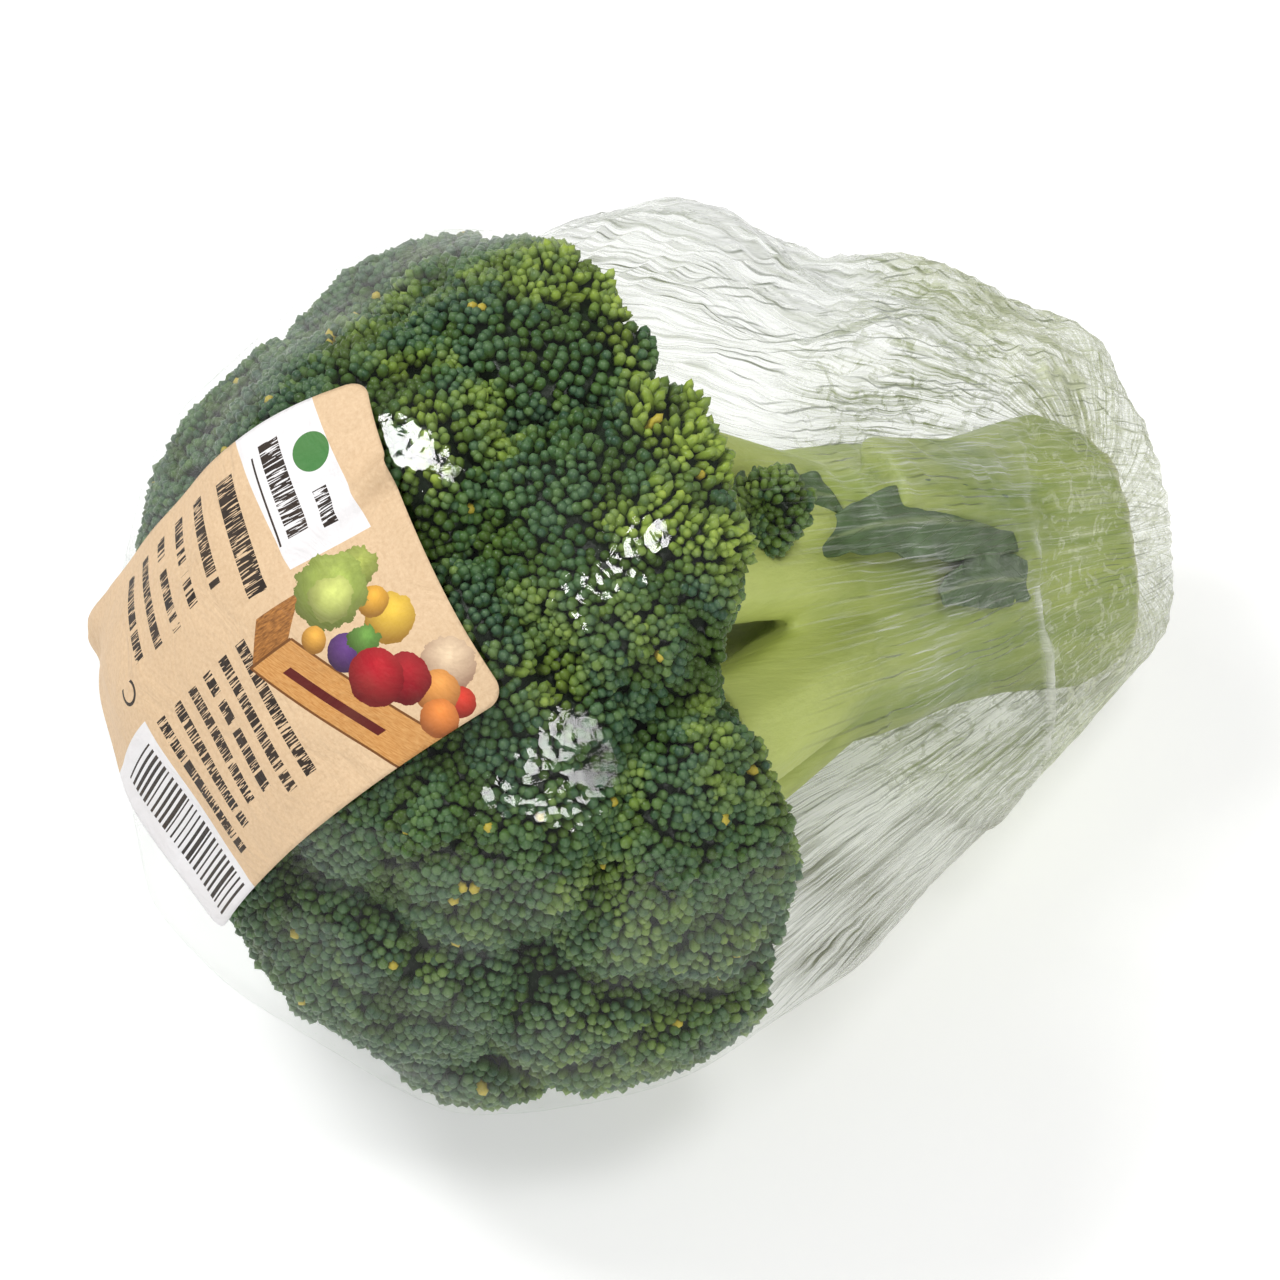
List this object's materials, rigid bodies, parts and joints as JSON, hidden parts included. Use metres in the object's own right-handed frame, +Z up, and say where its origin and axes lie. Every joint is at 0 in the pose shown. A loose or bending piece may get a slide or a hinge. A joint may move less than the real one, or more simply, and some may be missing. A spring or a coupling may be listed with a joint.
{
  "type": "wrapped broccoli head",
  "caption": "Fresh broccoli head lying on its side, domed crown of florets on a thick pale stalk, wrapped in clear crinkled film with a brown paper label stuck on.",
  "frame": {"origin": "middle of the box on the plane that the wrapped head lies on", "axes": "+X from the crown to the cut end of the stalk along the floor, +Y across, +Z up; the plant's own axis rises 18.5 degrees towards the crown"},
  "size_m": [0.1694, 0.1268, 0.1194],
  "materials": {
    "buds": "dark green flower buds, matt, in place of plant tissue",
    "stem": "pale yellow-green stalk flesh, satin, in place of plant tissue",
    "leaf": "grey-green leaf, satin, in place of plant tissue",
    "film": "clear thin plastic film, glossy and crinkled",
    "label": "brown kraft paper with plain printed marks"
  },
  "bodies": {
    "root": {"branch_01": "stem", "branch_02": "stem", "branch_03": "stem", "branch_04": "stem", "branch_05": "stem", "branch_06": "stem", "branch_07": "stem", "branch_08": "stem", "branch_09": "stem", "branch_10": "stem", "branch_11": "stem", "branch_12": "stem", "branch_13": "stem", "branch_14": "stem", "branch_15": "stem", "branch_16": "stem", "film_wrap": "film", "floret_01": "buds", "floret_02": "buds", "floret_03": "buds", "floret_04": "buds", "floret_05": "buds", "floret_06": "buds", "floret_07": "buds", "floret_08": "buds", "floret_09": "buds", "floret_10": "buds", "floret_11": "buds", "floret_12": "buds", "floret_13": "buds", "floret_14": "buds", "floret_15": "buds", "floret_16": "buds", "leaf_1": "leaf", "leaf_2": "leaf", "leaf_3": "leaf", "leaf_stub_1": "stem", "leaf_stub_2": "stem", "leaf_stub_3": "stem", "main_stalk": "stem", "paper_label": "label"}
  },
  "joints": []
}
